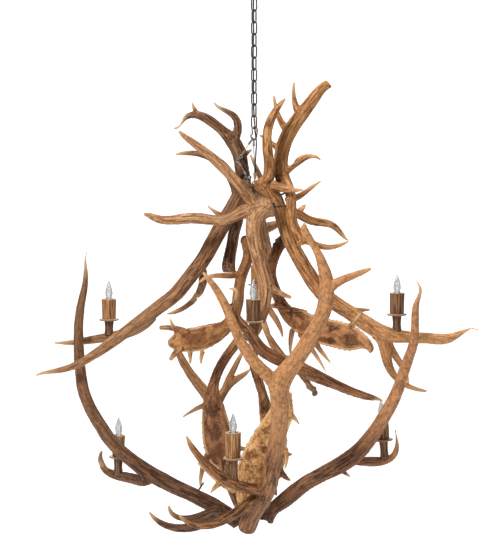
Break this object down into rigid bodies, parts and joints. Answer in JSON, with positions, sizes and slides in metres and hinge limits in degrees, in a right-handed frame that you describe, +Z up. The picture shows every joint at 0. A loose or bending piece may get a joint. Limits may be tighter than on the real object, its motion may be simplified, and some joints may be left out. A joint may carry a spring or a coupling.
{
  "type": "multi arm chandelier",
  "caption": "Chandelier of joined antlers in two tiers, with candle lights on its tines, hung by a chain from a ceiling canopy.",
  "frame": {"origin": "on the ceiling plane, in the middle of the crossbar's two slots", "axes": "+Z up, -Y front, +X to the right as seen from the front"},
  "size_m": [1.2262, 0.8511, 1.6007],
  "materials": {
    "antler": "polished tan and brown antler, grooved along its length, pale tips",
    "bark_antler": "dark grooved antler",
    "cut_antler": "sawn antler, cream",
    "dark_bronze": "oil-rubbed bronze",
    "steel": "dull bright steel",
    "zinc_steel": "zinc plated",
    "ground_green": "green paint",
    "brass": "plain brass",
    "socket_plastic": "moulded phenolic",
    "cord_jacket": "brown plastic jacket",
    "bulb_glass": "clear glass"
  },
  "bodies": {
    "ceiling_fixing": {"ceiling_crossbar": "zinc_steel", "lock_nuts": "zinc_steel", "canopy": "dark_bronze", "canopy_loop": "dark_bronze", "collar_ring": "dark_bronze", "loop_nipple": "zinc_steel", "ground_screw": "ground_green", "supply_cord": "cord_jacket"},
    "link_01": {"chain_link_01": "dark_bronze"},
    "link_02": {"chain_link_02": "dark_bronze", "chain_link_03": "dark_bronze"},
    "lower_chain": {"chain_link_04": "dark_bronze", "chain_link_05": "dark_bronze", "chain_link_06": "dark_bronze", "chain_link_07": "dark_bronze", "chain_link_08": "dark_bronze", "chain_link_09": "dark_bronze", "chain_link_10": "dark_bronze", "chain_link_11": "dark_bronze", "chain_link_12": "dark_bronze"},
    "quick_link": {"quick_link": "steel", "quick_link_nut": "steel"},
    "antler_cluster": {"basket_back_antler": "antler", "basket_front_antler": "antler", "basket_left_antler": "antler", "bobeches": "cut_antler", "candle_covers": "bark_antler", "candle_stems": "bark_antler", "cord_gland": "brass", "cross_antler": "antler", "crown_left_antler": "antler", "crown_right_antler": "antler", "eye_screws": "steel", "joining_screws": "zinc_steel", "light_nipples": "brass", "lower_back_antler": "antler", "lower_front_antler": "antler", "lower_left_antler": "antler", "lower_right_antler": "antler", "middle_left_antler": "antler", "middle_right_antler": "antler", "sling_cables": "steel", "sling_ferrules": "steel", "sockets": "socket_plastic", "upper_back_antler": "antler", "upper_front_antler": "antler", "upper_left_antler": "antler", "upper_right_antler": "antler"},
    "bulb_1": {"bulb_1": "bulb_glass"},
    "bulb_2": {"bulb_2": "bulb_glass"},
    "bulb_3": {"bulb_3": "bulb_glass"},
    "bulb_4": {"bulb_4": "bulb_glass"},
    "bulb_5": {"bulb_5": "bulb_glass"},
    "bulb_6": {"bulb_6": "bulb_glass"},
    "bulb_7": {"bulb_7": "bulb_glass"},
    "bulb_8": {"bulb_8": "bulb_glass"}
  },
  "joints": [
    {"name": "link_01_tilt", "type": "hinge", "parent": "ceiling_fixing", "child": "link_01", "pos_m": [0, 0, -0.0795], "axis": [0.788, -0.6157, 0], "range_deg": [-5, 5], "deforming": ["supply_cord"]},
    {"name": "link_02_tilt", "type": "hinge", "parent": "link_01", "child": "link_02", "pos_m": [0, 0, -0.1106], "axis": [0.6157, 0.788, 0], "range_deg": [-5, 5]},
    {"name": "lower_chain_twist", "type": "hinge", "parent": "link_02", "child": "lower_chain", "pos_m": [0, 0, -0.1738], "axis": [0, 0, 1], "range_deg": [-20, 20]},
    {"name": "quick_link_tilt", "type": "hinge", "parent": "lower_chain", "child": "quick_link", "pos_m": [0, 0, -0.4582], "axis": [0.788, -0.6157, 0], "range_deg": [-5, 5]},
    {"name": "cluster_swing", "type": "hinge", "parent": "quick_link", "child": "antler_cluster", "pos_m": [0, 0, -0.48815], "axis": [0.766, 0.6428, 0], "range_deg": [-5, 5]},
    {"name": "bulb_1_withdraw", "type": "slide", "parent": "antler_cluster", "child": "bulb_1", "axis": [0, 0, 1], "range_m": [0, 0.03]},
    {"name": "bulb_2_withdraw", "type": "slide", "parent": "antler_cluster", "child": "bulb_2", "axis": [0, 0, 1], "range_m": [0, 0.03]},
    {"name": "bulb_3_withdraw", "type": "slide", "parent": "antler_cluster", "child": "bulb_3", "axis": [0, 0, 1], "range_m": [0, 0.03]},
    {"name": "bulb_4_withdraw", "type": "slide", "parent": "antler_cluster", "child": "bulb_4", "axis": [0, 0, 1], "range_m": [0, 0.03]},
    {"name": "bulb_5_withdraw", "type": "slide", "parent": "antler_cluster", "child": "bulb_5", "axis": [0.0175, 0, 0.9998], "range_m": [0, 0.03]},
    {"name": "bulb_6_withdraw", "type": "slide", "parent": "antler_cluster", "child": "bulb_6", "axis": [-0.0698, 0, 0.9976], "range_m": [0, 0.03]},
    {"name": "bulb_7_withdraw", "type": "slide", "parent": "antler_cluster", "child": "bulb_7", "axis": [0, 0, 1], "range_m": [0, 0.03]},
    {"name": "bulb_8_withdraw", "type": "slide", "parent": "antler_cluster", "child": "bulb_8", "axis": [0, 0, 1], "range_m": [0, 0.03]}
  ]
}
